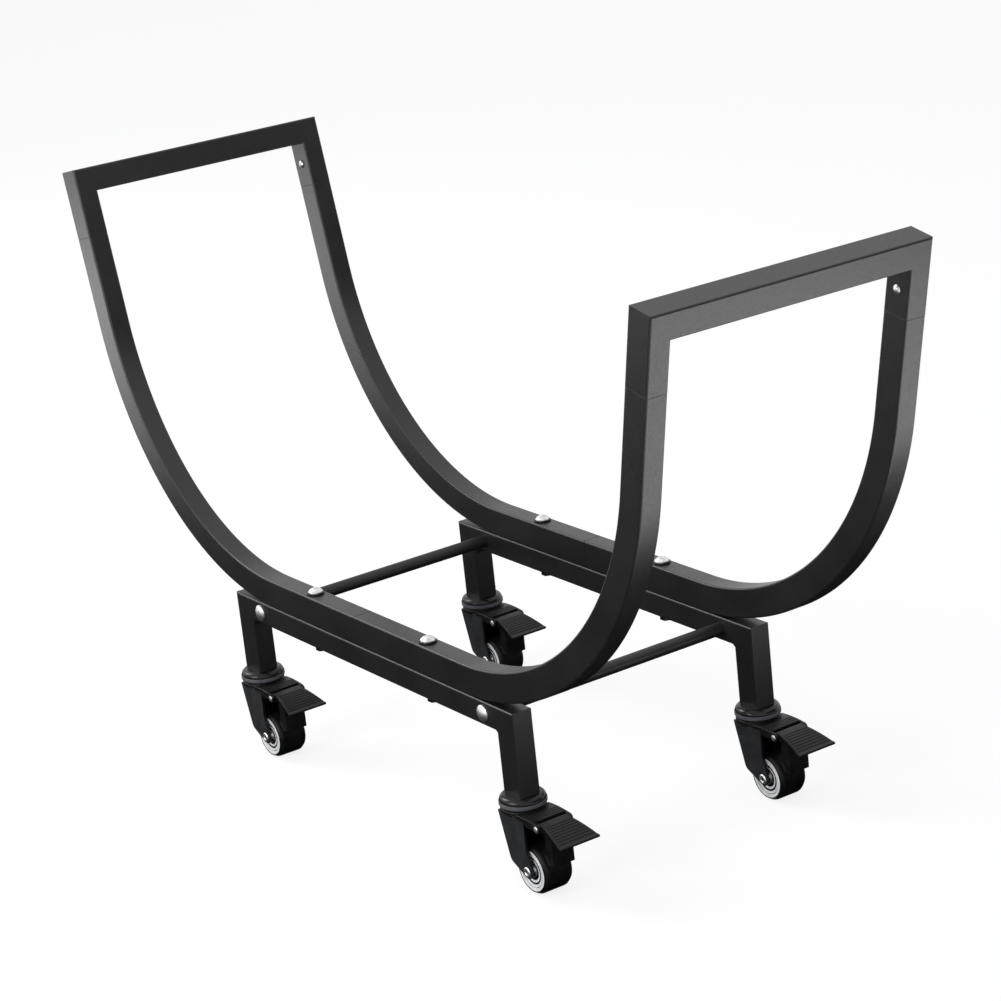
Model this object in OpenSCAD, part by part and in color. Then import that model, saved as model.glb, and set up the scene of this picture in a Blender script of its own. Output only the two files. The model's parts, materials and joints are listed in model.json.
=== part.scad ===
// Rolling firewood rack: two bent tube hoops on a wheeled base, with a tube
// frame on top of each side. Millimetres, Z up, X along the rack, Y across it.
// The origin is on the floor, under the middle of the rack.

/* [Base] */
// Length of the base rails
base_len = 540; // [440:1:700]
// Depth over the outer faces of the rails and hoops
base_depth = 325; // [260:1:420]
// Height of the rails' top face above the floor
base_height = 187; // [178:1:265]
// Height of the rail tube
rail_h = 26; // [22:0.5:32]
// Width of the leg tube along the rail
leg_w = 30; // [27:0.5:34]
// Radius of the weld fillet inside each leg corner
weld_r = 8; // [4:0.5:12]

/* [Tube] */
// Width of every tube across the rack
tube_w = 24; // [21:0.5:26]
// Thickness of the hoop and top frame tubes in the hoop's plane
hoop_t = 32; // [27:0.5:40]
// Height of the top bars' tube
bar_h = 28; // [22:0.5:32]
// Wall of every tube
wall = 1.5; // [1:0.1:2.5]
// Outer corner radius of every tube
corner_r = 2; // [1.7:0.1:3]

/* [Hoops] */
// Half length of the flat bottom of a hoop
flat_half = 185; // [170:1:230]
// Bend radius at the outside of a hoop
bend_r = 340; // [240:1:360]
// Outward lean of the arms and top frames, degrees
lean = 12.5; // [5:0.5:20]
// Height of the outer top corners above the rails
hoop_height = 445; // [430:1:560]
// Length of a post from its seam to the top
post_len = 78; // [74:1:110]
// Place along X of the seam where two arms meet
seam_x = -15; // [-30:1:30]
// Clearance round an inner sleeve
sleeve_gap = 0.2; // [0.1:0.05:0.4]
// Length of the sleeve inside a hoop's bottom seam
splice_len = 100; // [60:1:140]
// Length of the sleeve inside a post seam
spigot_len = 72; // [60:1:100]

/* [Cross rods] */
// Diameter of the cross rods
rod_d = 14; // [12:0.5:18]
// Distance of each rod from the end of the rails
rod_inset = 52; // [42:1:80]
// Depth of the threaded hole in each rod end
rod_hole = 30; // [24:1:40]

/* [Fasteners] */
// Diameter of the hoop bolts and rod bolts
bolt_d = 8; // [6:0.5:8.5]
// Distance of the hoop bolts from the middle of the rack
hoop_bolt_x = 110; // [90:1:150]
// Head diameter of the hoop bolts
hoop_head_d = 16; // [14:0.5:17]
// Head height of the hoop bolts
hoop_head_h = 5.5; // [4:0.5:7]
// Head diameter of the rod bolts
rod_head_d = 18; // [15:0.5:19]
// Head height of the rod bolts
rod_head_h = 4.5; // [3:0.5:6]
// Diameter of the flanges under the hoop bolts
washer_d = 19; // [18:0.5:20]
// Thickness of those flanges
washer_t = 1.6; // [1:0.1:2.5]
// Width across the flats of the nuts
nut_af = 13; // [12:0.5:15]
// Height of the nuts
nut_h = 6; // [4:0.5:8]
// Shank diameter of the top screws
screw_d = 5; // [4:0.5:6]
// Head diameter of the top screws
screw_head_d = 9; // [8:0.5:11]
// Head height of the top screws
screw_head_h = 3; // [2:0.5:4]
// Length of a top screw's shank
screw_len = 12; // [8:1:14]
// Height of the top screws above the post seams
screw_up = 26; // [18:1:30]
// Clearance of a hole round a shank
hole_gap = 0.2; // [0.1:0.05:0.5]

/* [Casters] */
// Wheel diameter
wheel_d = 50; // [44:1:54]
// Wheel width
wheel_w = 34; // [28:1:38]
// Height of the collars' seats, where the legs stand, above the floor
caster_height = 90.5; // [88:0.5:100]
// Offset of the axle from the swivel axis
trail = 27; // [24:1:30]
// Hub diameter, where the tyre starts
hub_d = 41; // [34:1:42]
// Axle diameter
axle_d = 8; // [6:0.5:9]
// Bearing outside diameter
bearing_d = 15; // [13:0.5:18]
// Bearing width
bearing_w = 5; // [4:0.5:7]
// Diameter of the fork's turning disc
disc_d = 47; // [42:1:50]
// Thickness of that disc
disc_t = 5; // [4:0.5:6]
// Height of the fork's crown, disc included
crown_h = 13.9; // [12:0.1:16]
// Height of the race between the collar and the disc
race_h = 2.1; // [1.5:0.1:3]
// Thickness of a fork blade
blade_t = 3.5; // [3:0.5:5]
// Depth of the hood's side walls
hood_depth = 7; // [5:0.5:9]
// Diameter of the collar on the leg
collar_d = 49; // [48:1:54]
// Height of the collar's straight rim
rim_h = 4.5; // [3:0.5:6]
// Radius of the collar's domed shoulder
dome_r = 5.5; // [3:0.5:5.5]
// King pin diameter
king_d = 10; // [8:0.5:11]
// King pin head diameter
king_head_d = 16; // [14:0.5:18]
// Length of the collar's plug inside the leg
plug_len = 25; // [18:1:32]
// Radial clearance of turning pins
run_gap = 0.05; // [0.03:0.01:0.1]

/* [Brake pedals] */
// Distance of the pedal's hinge from the swivel axis
pivot_x = 50; // [48:0.5:53]
// Hinge pin diameter
pivot_d = 4; // [3:0.5:5]
// Radius of the knuckle and ears round the pin
knuckle_r = 4.5; // [4:0.1:5]
// Distance of the pedal's tip from the swivel axis
tip_x = 94; // [90:1:104]
// Radius of the curved top of hood and pedal
pedal_r = 162; // [140:1:180]
// Thickness of the hood and the pedal
pedal_t = 4; // [3:0.5:4.5]
// Width of the pedal beside the hood
pedal_w0 = 34; // [28:1:34]
// Width of the pedal at its tip
pedal_w1 = 48; // [42:1:54]
// Spacing of the ribs on the pedal
rib_pitch = 4; // [3:0.5:6]
// Thickness of the brake shoe
shoe_t = 5; // [3:0.5:6]
// Gap between the released shoe and the tyre
shoe_gap = 4; // [4:0.1:4.6]

/* [Hidden] */

$fn = 48;
coat = "#2b2b2d";
zinc = "#c9cacc";
moulded = "#202022";
rubber = "#161618";
pale = "#d9dadb";

// Cuts run this far past the faces that they open
over = 1;
// Inner corner radius of a tube
inner_r = 0.5;
// Y of the middle of the front rail, and of the front hoop above it
row_y = base_depth / 2 - tube_w / 2;
// Half of the base along X, out to the legs' outer faces
half_len = base_len / 2;
leg_x = half_len - leg_w / 2;
rod_x = half_len - rod_inset;
// Height of the middle of a rail
rail_mid = base_height - rail_h / 2;
// Swept angle of a hoop's bend
bend = 90 - lean;
// Middle of a hoop's bend, from the centre line of the rack
bend_z = base_height + bend_r;
// Where the leaning straight part of an arm starts, on its outer face
lean_x = flat_half + bend_r * cos(lean);
lean_z = bend_z - bend_r * sin(lean);
// Length of that straight part up to the outer top corner
lean_len = (base_height + hoop_height - lean_z) / cos(lean);
arm_len = lean_len - post_len;
// The sleeve in a post seam stops just short of the top bar
spigot_up = post_len - bar_h - 4;
// The leaning straight laps into the bend, a hair smaller all round
lap = 0.5;
lap_step = 0.02;
// Height of the hoop bottoms' upper face
hoop_top = base_height + hoop_t;
// Holes that shanks pass through
bolt_hole = bolt_d + 2 * hole_gap;
screw_hole = screw_d + 2 * hole_gap;
// Outside of a sleeve that slides into a tube
sleeve_w = tube_w - 2 * wall - 2 * sleeve_gap;
sleeve_t = hoop_t - 2 * wall - 2 * sleeve_gap;
// The thrust washer fills the groove between the collar and the disc
washer_gap = 0.1;
seat_z = caster_height;
collar_low = seat_z - rim_h;
disc_top = collar_low - race_h;
disc_low = disc_top - disc_t;
crown_low = disc_top - crown_h;
// Fit of the leg in its collar
leg_fit = 0.15;
axle_z = wheel_d / 2;
// Blades stand clear of the wheel's faces by this much
wheel_gap = 0.8;
blade_y = wheel_w / 2 + wheel_gap;
fork_half = blade_y + blade_t;
rivet_h = 1.5;
rivet_d = axle_d + 3;
king_head_h = 3;
// The top curve of hood and pedal is level here, beside the collar
pedal_crest = disc_d / 2 + 6.5;
pedal_cz = disc_top - 0.2 - pedal_r;
// Height of that curve at a distance x from the swivel axis
function pedal_z(x) = pedal_cz + sqrt(pedal_r * pedal_r - (x - pedal_crest) * (x - pedal_crest));
pivot_z = pedal_z(pivot_x) - knuckle_r - 0.1;
// Gap between the pedal and the hood's ears, across and along
ear_gap = 0.5;
end_gap = 0.8;
knuckle_half = blade_y - ear_gap;
hood_end = pivot_x - knuckle_r - end_gap;
pedal_x0 = pivot_x + knuckle_r + end_gap;
pedal_half0 = pedal_w0 / 2;
pedal_half1 = pedal_w1 / 2;
// The shoe is a band round the tyre's place, at the foot of the pedal's web
shoe_in = wheel_d / 2 + shoe_gap;
shoe_back = shoe_in + shoe_t;
shoe_low = axle_z + 13;
shoe_high = axle_z + 22;
shoe_half = wheel_w / 2 - 4;
web_x0 = pivot_x + 1;
web_x1 = pivot_x + 12;
// The blades' back edge slants down from here
blade_back = -15;

// Rectangle a by b with round corners, centred
module rounded(a, b, r) {
    square([a - 2 * r, b], center = true);
    square([a, b - 2 * r], center = true);
    for (sx = [-1, 1], sy = [-1, 1])
        translate([sx * (a / 2 - r), sy * (b / 2 - r)])
            circle(r);
}

// Outline of a tube's outside
module tube_outline(a, b) {
    rounded(a, b, corner_r);
}

// Outline of a tube's inside
module tube_hollow(a, b) {
    rounded(a - 2 * wall, b - 2 * wall, inner_r);
}

// Lays a child that stands along Z along X, with its own x across the rack
module along_x() {
    rotate([90, 0, 90])
        children();
}

// Slab in the XZ plane from an outline, reaching w to each side of Y = 0
module xz_slab(w) {
    translate([0, w, 0])
        rotate([90, 0, 0])
            linear_extrude(2 * w)
                children();
}

// Cylinder along Y, centred on Y = 0
module y_pin(d, half) {
    rotate([90, 0, 0])
        cylinder(d = d, h = 2 * half, center = true);
}

// Ring along Y from Y = y0 to Y = y1
module y_ring(d_out, d_in, y0, y1) {
    translate([0, y1, 0])
        rotate([90, 0, 0])
            difference() {
                cylinder(d = d_out, h = y1 - y0);
                translate([0, 0, -over])
                    cylinder(d = d_in, h = y1 - y0 + 2 * over);
            }
}

// Low dome with a flat foot of diameter d and height h, standing on Z = 0
module dome(d, h) {
    foot = h / 3;
    cap_r = (d * d / 4 + (h - foot) * (h - foot)) / (2 * (h - foot));
    cylinder(d = d, h = foot);
    intersection() {
        translate([0, 0, h - cap_r])
            sphere(cap_r);
        translate([0, 0, foot])
            cylinder(d = d, h = h);
    }
}

// Triangle that removes one side of the mitre between a leg and its rail
module mitre_wedge(above) {
    a = [half_len + 0.1 * leg_w, base_height + 0.1 * rail_h];
    b = [half_len - 1.1 * leg_w, base_height - 1.1 * rail_h];
    c = above ? [b[0], a[1]] : [a[0], b[1]];
    xz_slab(tube_w)
        polygon([a, b, c]);
}

module rail(side) {
    color(coat)
        translate([0, side * row_y, 0])
            difference() {
                translate([-half_len, 0, rail_mid])
                    along_x()
                        linear_extrude(base_len)
                            tube_outline(tube_w, rail_h);
                translate([-half_len - over, 0, rail_mid])
                    along_x()
                        linear_extrude(base_len + 2 * over)
                            tube_hollow(tube_w, rail_h);
                for (m = [0, 1])
                    mirror([m, 0, 0])
                        mitre_wedge(false);
                for (s = [-1, 1]) {
                    translate([s * hoop_bolt_x, 0, base_height - rail_h - over])
                        cylinder(d = bolt_hole, h = rail_h + 2 * over);
                    translate([s * rod_x, 0, rail_mid])
                        y_pin(bolt_hole, tube_w);
                }
            }
}

// Leg of the right-hand end, standing on the centre line
module leg_right() {
    color(coat) {
        difference() {
            translate([leg_x, 0, seat_z])
                linear_extrude(base_height - seat_z)
                    tube_outline(leg_w, tube_w);
            translate([leg_x, 0, seat_z - over])
                linear_extrude(base_height - seat_z + 2 * over)
                    tube_hollow(leg_w, tube_w);
            mitre_wedge(true);
        }
        weld_fillet();
    }
}

// Rounded weld in the corner under the rail
module weld_fillet() {
    x = half_len - leg_w;
    z = base_height - rail_h;
    xz_slab(tube_w / 2 - corner_r)
        difference() {
            translate([x - weld_r, z - weld_r])
                square([weld_r + wall / 2, weld_r]);
            translate([x - weld_r, z - weld_r])
                circle(weld_r);
        }
}

// Puts a child made for the right-hand end, on the centre line, at a corner
module at_corner(sx, sy) {
    translate([0, sy * row_y, 0])
        mirror([sx < 0 ? 1 : 0, 0, 0])
            children();
}

// Puts a caster, which always trails towards +X, under a corner's leg
module at_caster(sx, sy) {
    translate([sx * leg_x, sy * row_y, 0])
        children();
}

// Puts a child made for the right-hand end, on the centre plane, at an end
module at_end(sx) {
    mirror([sx < 0 ? 1 : 0, 0, 0])
        children();
}

// Puts a right-hand front post at a corner, its screw towards the middle
module at_post(sx, sy) {
    at_corner(sx, sy)
        mirror([0, sy > 0 ? 1 : 0, 0])
            children();
}

module cross_rod(sx) {
    half = base_depth / 2 - tube_w;
    color(coat)
        translate([sx * rod_x, 0, rail_mid])
            difference() {
                y_pin(rod_d, half);
                for (s = [-1, 1])
                    translate([0, s * half, 0])
                        y_pin(bolt_d, rod_hole);
            }
}

module rod_bolts() {
    color(zinc)
        for (sx = [-1, 1], sy = [-1, 1])
            translate([sx * rod_x, sy * base_depth / 2, rail_mid])
                rotate([-sy * 90, 0, 0]) {
                    dome(rod_head_d, rod_head_h);
                    mirror([0, 0, 1])
                        cylinder(d = bolt_d, h = tube_w + rod_hole - 2);
                }
}

// Frame along the leaning part of the right-hand arms, Z up the arm
module on_lean() {
    translate([lean_x, 0, lean_z])
        rotate([0, lean, 0])
            children();
}

// The path of a right-hand arm, from x0 at its bottom seam to its top seam;
// the straight ends run past by the given amount. The three outlines are for
// the bottom, the bend and the leaning straight, which reaches into the bend
module arm_sweep(x0, past) {
    translate([x0 - past, 0, base_height + hoop_t / 2])
        along_x()
            linear_extrude(flat_half - x0 + past)
                children(0);
    translate([flat_half, 0, bend_z])
        rotate([90, 0, 0])
            rotate([0, 0, -90])
                rotate_extrude(angle = bend, $fn = 180)
                    translate([bend_r - hoop_t / 2, 0])
                        children(1);
    on_lean()
        translate([-hoop_t / 2, 0, -lap])
            linear_extrude(arm_len + lap + past)
                children(2);
}

// Arm of a hoop; x0 is its seam, measured towards its own side
module arm(x0) {
    color(coat)
        difference() {
            arm_sweep(x0, 0) {
                tube_outline(tube_w, hoop_t);
                tube_outline(hoop_t, tube_w);
                tube_outline(hoop_t - 2 * lap_step, tube_w - 2 * lap_step);
            }
            arm_sweep(x0, over) {
                tube_hollow(tube_w, hoop_t);
                tube_hollow(hoop_t, tube_w);
                tube_hollow(hoop_t - 2 * lap_step, tube_w - 2 * lap_step);
            }
            translate([hoop_bolt_x, 0, base_height - over])
                cylinder(d = bolt_hole, h = hoop_t + 2 * over);
        }
}

// Sleeve with the outside a by b, standing on Z = 0
module sleeve(a, b, len) {
    linear_extrude(len)
        difference() {
            rounded(a, b, inner_r);
            rounded(a - 2 * wall, b - 2 * wall, inner_r);
        }
}

module hoop_splices() {
    color(coat)
        for (sy = [-1, 1])
            translate([seam_x - splice_len / 2, sy * row_y, base_height + hoop_t / 2])
                along_x()
                    sleeve(sleeve_w, sleeve_t, splice_len);
}

// Puts a child made on the leaning arm's centre line at each corner
module at_posts() {
    for (sx = [-1, 1], sy = [-1, 1])
        at_post(sx, sy)
            on_lean()
                translate([-hoop_t / 2, 0, arm_len])
                    children();
}

module arm_spigots() {
    color(coat)
        at_posts()
            difference() {
                translate([0, 0, spigot_up - spigot_len])
                    sleeve(sleeve_t, sleeve_w, spigot_len);
                translate([0, tube_w / 2, screw_up])
                    y_pin(screw_hole, tube_w / 2);
            }
}

// Post of a top frame in the leaning frame, mitred at its top, its screw
// hole on the face towards the middle of the rack
module post() {
    color(coat)
        on_lean()
            translate([-hoop_t / 2, 0, arm_len])
                difference() {
                    linear_extrude(post_len)
                        tube_outline(hoop_t, tube_w);
                    translate([0, 0, -over])
                        linear_extrude(post_len + 2 * over)
                            tube_hollow(hoop_t, tube_w);
                    bar_mitre(true);
                    translate([0, tube_w / 2, screw_up])
                        y_pin(screw_hole, tube_w / 2);
                }
}

// One side of the mitre plane between a front post and its bar
module bar_mitre(above) {
    low = -0.6 * tube_w;
    high = 0.6 * tube_w;
    outer = post_len + 0.1 * bar_h;
    inner = post_len - 1.1 * bar_h;
    far = above ? [high, outer] : [low, inner];
    rotate([90, 0, 90])
        linear_extrude(2 * hoop_t, center = true)
            polygon([[low, outer], [high, inner], far]);
}

// Bar of a top frame, mitred at both ends
module top_bar() {
    color(coat)
        on_lean()
            translate([-hoop_t / 2, 0, arm_len])
                difference() {
                    translate([0, base_depth / 2, post_len - bar_h / 2])
                        rotate([90, 0, 0])
                            linear_extrude(base_depth)
                                tube_outline(hoop_t, bar_h);
                    translate([0, base_depth / 2 + over, post_len - bar_h / 2])
                        rotate([90, 0, 0])
                            linear_extrude(base_depth + 2 * over)
                                tube_hollow(hoop_t, bar_h);
                    for (m = [0, 1])
                        mirror([0, m, 0])
                            translate([0, -row_y, 0])
                                bar_mitre(false);
                }
}

module hoop_bolts() {
    color(zinc)
        for (sx = [-1, 1], sy = [-1, 1])
            translate([sx * hoop_bolt_x, sy * row_y, hoop_top + washer_t]) {
                dome(hoop_head_d, hoop_head_h);
                mirror([0, 0, 1])
                    cylinder(d = bolt_d, h = washer_t + hoop_t + rail_h + nut_h + 1);
            }
}

module hoop_washers() {
    color(moulded)
        for (sx = [-1, 1], sy = [-1, 1])
            translate([sx * hoop_bolt_x, sy * row_y, hoop_top])
                difference() {
                    cylinder(d = washer_d, h = washer_t);
                    translate([0, 0, -over])
                        cylinder(d = bolt_hole, h = washer_t + 2 * over);
                }
}

module hoop_nuts() {
    color(zinc)
        for (sx = [-1, 1], sy = [-1, 1])
            translate([sx * hoop_bolt_x, sy * row_y, base_height - rail_h - nut_h])
                difference() {
                    cylinder(d = nut_af / cos(30), h = nut_h, $fn = 6);
                    translate([0, 0, -over])
                        cylinder(d = bolt_d, h = nut_h + 2 * over);
                }
}

module top_screws() {
    color(zinc)
        at_posts()
            translate([0, tube_w / 2, screw_up])
                rotate([-90, 0, 0]) {
                    dome(screw_head_d, screw_head_h);
                    mirror([0, 0, 1])
                        cylinder(d = screw_d, h = screw_len);
                }
}

// Bell on the foot of a leg, with a plug that fills the tube's end
module caster_collars() {
    color(moulded)
        for (sx = [-1, 1], sy = [-1, 1])
            at_caster(sx, sy)
                difference() {
                    union() {
                        bell();
                        translate([0, 0, seat_z])
                            linear_extrude(plug_len)
                                rounded(leg_w - 2 * wall - 2 * leg_fit,
                                    tube_w - 2 * wall - 2 * leg_fit, inner_r);
                    }
                    translate([0, 0, collar_low - over])
                        cylinder(d = king_d, h = plug_len);
                }
}

// Collar body with its pocket for the leg's end
module bell() {
    difference() {
        rotate_extrude() {
            translate([0, collar_low])
                square([collar_d / 2, rim_h]);
            intersection() {
                translate([collar_d / 2 - dome_r, seat_z])
                    circle(dome_r);
                translate([0, seat_z])
                    square([collar_d / 2, dome_r]);
            }
            translate([0, seat_z])
                square([collar_d / 2 - dome_r, dome_r]);
        }
        translate([0, 0, seat_z])
            linear_extrude(dome_r + over)
                rounded(leg_w + 2 * leg_fit, tube_w + 2 * leg_fit, corner_r);
    }
}

module king_pins() {
    color(zinc)
        for (sx = [-1, 1], sy = [-1, 1])
            at_caster(sx, sy) {
                translate([0, 0, crown_low - washer_gap])
                    cylinder(d = king_d, h = crown_h + race_h + plug_len - over + washer_gap);
                translate([0, 0, crown_low - washer_gap - king_head_h])
                    cylinder(d = king_head_d, h = king_head_h);
            }
}

module swivel_washers() {
    color(moulded)
        for (sx = [-1, 1], sy = [-1, 1])
            at_caster(sx, sy)
                translate([0, 0, disc_top + washer_gap])
                    difference() {
                        cylinder(d = disc_d - 5, h = race_h - washer_gap);
                        translate([0, 0, -over])
                            cylinder(d = king_d, h = race_h + 2 * over);
                    }
}

// Side view of a fork blade: it narrows from the turning disc to a round end
// about the axle, its back edge slanting and its front edge upright
module blade_outline() {
    boss_r = 7.5;
    front_x = trail + 1;
    polygon([[blade_back, disc_low], [trail - 29, axle_z + 9], [trail - 24, axle_z + 3],
        [trail - 6, axle_z - boss_r + 2], [trail + boss_r, axle_z],
        [trail + 4, axle_z + 14], [front_x, axle_z + 24], [front_x, disc_low]]);
    translate([trail, axle_z])
        circle(boss_r);
}

// Side view of the wall that joins the blades down their back edge
module back_outline() {
    wall_t = 2.5;
    foot_x = trail - 32;
    foot_z = axle_z + 19;
    polygon([[blade_back, disc_low], [foot_x, foot_z], [foot_x + wall_t, foot_z + 1],
        [blade_back + wall_t, disc_low]]);
}

// Side view of the band under the top curve, of a given depth, from x0 to x1
module curved_band(depth, x0, x1) {
    intersection() {
        difference() {
            translate([pedal_crest, pedal_cz])
                circle(pedal_r, $fn = 360);
            translate([pedal_crest, pedal_cz])
                circle(pedal_r - depth, $fn = 360);
        }
        translate([x0, axle_z])
            square([x1 - x0, disc_top]);
    }
}

// Hood over the wheel, with a wall and a hinge ear at each side
module hood() {
    xz_slab(fork_half)
        curved_band(pedal_t, trail / 2, hood_end);
    for (s = [-1, 1])
        translate([0, s * (blade_y + blade_t / 2), 0])
            xz_slab(blade_t / 2) {
                curved_band(hood_depth, trail / 2, pivot_x);
                translate([pivot_x, pivot_z])
                    circle(knuckle_r);
            }
}

module fork() {
    color(moulded)
        difference() {
            union() {
                translate([0, 0, disc_low])
                    cylinder(d = disc_d, h = disc_t);
                intersection() {
                    translate([0, 0, crown_low])
                        cylinder(d = disc_d, h = crown_h);
                    translate([-disc_d / 2, -fork_half, crown_low])
                        cube([disc_d, 2 * fork_half, crown_h]);
                }
                for (s = [-1, 1])
                    translate([0, s * (blade_y + blade_t / 2), 0])
                        xz_slab(blade_t / 2)
                            blade_outline();
                xz_slab(blade_y + blade_t / 2)
                    back_outline();
                hood();
            }
            translate([0, 0, crown_low - over])
                cylinder(d = king_d + 2 * run_gap, h = crown_h + 2 * over);
            translate([trail, 0, axle_z])
                y_pin(axle_d, fork_half + over);
            translate([pivot_x, 0, pivot_z])
                y_pin(pivot_d, fork_half + over);
        }
}

// Axle with a hollow rivet head outside each blade
module axle() {
    rivet_hole = 3;
    color(zinc)
        translate([trail, 0, axle_z])
            difference() {
                union() {
                    y_pin(axle_d, fork_half + rivet_h);
                    for (s = [-1, 1])
                        translate([0, s * (fork_half + rivet_h / 2), 0])
                            y_pin(rivet_d, rivet_h / 2);
                }
                for (s = [-1, 1])
                    translate([0, s * (fork_half + rivet_h), 0])
                        y_pin(axle_d / 2, rivet_hole);
            }
}

// Hub with a stepped face each side and a seat for each bearing
module hub() {
    half = wheel_w / 2 - 1;
    step = 2;
    rim = 3;
    bore = axle_d / 2 + 1;
    color(pale)
        translate([trail, 0, axle_z])
            rotate([90, 0, 0])
                rotate_extrude()
                    difference() {
                        translate([bore, -half])
                            square([hub_d / 2 - bore, 2 * half]);
                        for (s = [-1, 1]) {
                            translate([0, s * half - (s > 0 ? bearing_w : 0)])
                                square([bearing_d / 2, bearing_w]);
                            translate([bearing_d / 2 + step, s * half - (s > 0 ? step : 0)])
                                square([hub_d / 2 - bearing_d / 2 - step - rim, step]);
                        }
                    }
}

module bearings() {
    half = wheel_w / 2 - 1;
    color(zinc)
        translate([trail, 0, axle_z])
            for (s = [-1, 1])
                translate([0, s * (half - bearing_w / 2), 0])
                    y_ring(bearing_d, axle_d + 2 * run_gap, -bearing_w / 2, bearing_w / 2);
}

module tyre() {
    shoulder = 5;
    half = wheel_w / 2;
    color(rubber)
        translate([trail, 0, axle_z])
            rotate([90, 0, 0])
                rotate_extrude()
                    intersection() {
                        translate([hub_d / 2, -half])
                            square([wheel_d, wheel_w]);
                        union() {
                            translate([0, -half])
                                square([wheel_d / 2 - shoulder, wheel_w]);
                            translate([0, -half + shoulder])
                                square([wheel_d / 2, wheel_w - 2 * shoulder]);
                            for (s = [-1, 1])
                                translate([wheel_d / 2 - shoulder, s * (half - shoulder)])
                                    circle(shoulder);
                        }
                    }
}

// Plan of a pedal, from the hood's end flaring to its tip
module pedal_plan() {
    polygon([[pedal_x0, -pedal_half0], [tip_x, -pedal_half1],
        [tip_x, pedal_half1], [pedal_x0, pedal_half0]]);
}

// Side view of the pedal's curved plate, its ribs and its round lip
module pedal_plate() {
    lip_x = tip_x - 3;
    rib_d = 2;
    curved_band(pedal_t, pedal_x0, lip_x);
    translate([lip_x, pedal_z(lip_x) - pedal_t / 2 + 0.6])
        circle(pedal_t / 2);
    for (x = [pedal_x0 + rib_pitch : rib_pitch : tip_x - 5])
        translate([x, pedal_z(x) - 0.3])
            circle(d = rib_d);
}

// Side view of the knuckle and of the web that carries the shoe
module knuckle_outline() {
    difference() {
        union() {
            translate([pivot_x, pivot_z])
                circle(knuckle_r);
            curved_band(pedal_t, pivot_x, pedal_x0 + 1);
        }
        translate([pivot_x, pivot_z])
            circle(d = pivot_d + 2 * run_gap);
    }
}

module web_outline() {
    difference() {
        translate([web_x0, shoe_low])
            square([web_x1 - web_x0, pivot_z - pivot_d / 2 - 1 - shoe_low]);
        translate([trail, axle_z])
            circle(shoe_back);
    }
    translate([pedal_x0, pivot_z - pivot_d])
        square([web_x1 - pedal_x0, pedal_z(web_x1) - pedal_t / 2 - pivot_z + pivot_d]);
}

module pedal() {
    color(moulded)
        union() {
            intersection() {
                translate([0, 0, axle_z])
                    linear_extrude(disc_top)
                        pedal_plan();
                xz_slab(pedal_half1)
                    pedal_plate();
            }
            xz_slab(knuckle_half)
                knuckle_outline();
            xz_slab(shoe_half)
                web_outline();
        }
}

// Pad at the foot of the web, curved to the tyre and clear of it when released
module brake_shoe() {
    color(rubber)
        xz_slab(shoe_half)
            intersection() {
                difference() {
                    translate([trail, axle_z])
                        circle(shoe_back);
                    translate([trail, axle_z])
                        circle(shoe_in);
                }
                translate([trail, shoe_low])
                    square([shoe_back, shoe_high - shoe_low]);
            }
}

module pedal_pin() {
    head = 1;
    head_d = pivot_d + 2.5;
    color(zinc)
        translate([pivot_x, 0, pivot_z]) {
            y_pin(pivot_d, fork_half + head);
            for (s = [-1, 1])
                translate([0, s * (fork_half + head / 2), 0])
                    y_pin(head_d, head / 2);
        }
}

rail(-1);  // front_rail
rail(1);  // rear_rail
at_corner(-1, -1) leg_right();  // leg_front_left
at_corner(1, -1) leg_right();  // leg_front_right
at_corner(-1, 1) leg_right();  // leg_rear_left
at_corner(1, 1) leg_right();  // leg_rear_right
cross_rod(-1);  // cross_rod_left
cross_rod(1);  // cross_rod_right
rod_bolts();
at_corner(-1, -1) arm(-seam_x);  // arm_front_left
at_corner(1, -1) arm(seam_x);  // arm_front_right
at_corner(-1, 1) arm(-seam_x);  // arm_rear_left
at_corner(1, 1) arm(seam_x);  // arm_rear_right
hoop_splices();
arm_spigots();
hoop_bolts();
hoop_washers();
hoop_nuts();
at_end(-1) top_bar();  // top_bar_left
at_end(1) top_bar();  // top_bar_right
at_post(-1, -1) post();  // post_front_left
at_post(1, -1) post();  // post_front_right
at_post(-1, 1) post();  // post_rear_left
at_post(1, 1) post();  // post_rear_right
top_screws();
caster_collars();
king_pins();
swivel_washers();
at_caster(-1, -1) fork();  // fork_front_left
at_caster(-1, -1) axle();  // axle_front_left
at_caster(-1, -1) hub();  // hub_front_left
at_caster(-1, -1) tyre();  // tyre_front_left
at_caster(-1, -1) bearings();  // bearings_front_left
at_caster(-1, -1) pedal();  // pedal_front_left
at_caster(-1, -1) brake_shoe();  // brake_shoe_front_left
at_caster(-1, -1) pedal_pin();  // pedal_pin_front_left
at_caster(1, -1) fork();  // fork_front_right
at_caster(1, -1) axle();  // axle_front_right
at_caster(1, -1) hub();  // hub_front_right
at_caster(1, -1) tyre();  // tyre_front_right
at_caster(1, -1) bearings();  // bearings_front_right
at_caster(1, -1) pedal();  // pedal_front_right
at_caster(1, -1) brake_shoe();  // brake_shoe_front_right
at_caster(1, -1) pedal_pin();  // pedal_pin_front_right
at_caster(-1, 1) fork();  // fork_rear_left
at_caster(-1, 1) axle();  // axle_rear_left
at_caster(-1, 1) hub();  // hub_rear_left
at_caster(-1, 1) tyre();  // tyre_rear_left
at_caster(-1, 1) bearings();  // bearings_rear_left
at_caster(-1, 1) pedal();  // pedal_rear_left
at_caster(-1, 1) brake_shoe();  // brake_shoe_rear_left
at_caster(-1, 1) pedal_pin();  // pedal_pin_rear_left
at_caster(1, 1) fork();  // fork_rear_right
at_caster(1, 1) axle();  // axle_rear_right
at_caster(1, 1) hub();  // hub_rear_right
at_caster(1, 1) tyre();  // tyre_rear_right
at_caster(1, 1) bearings();  // bearings_rear_right
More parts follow.
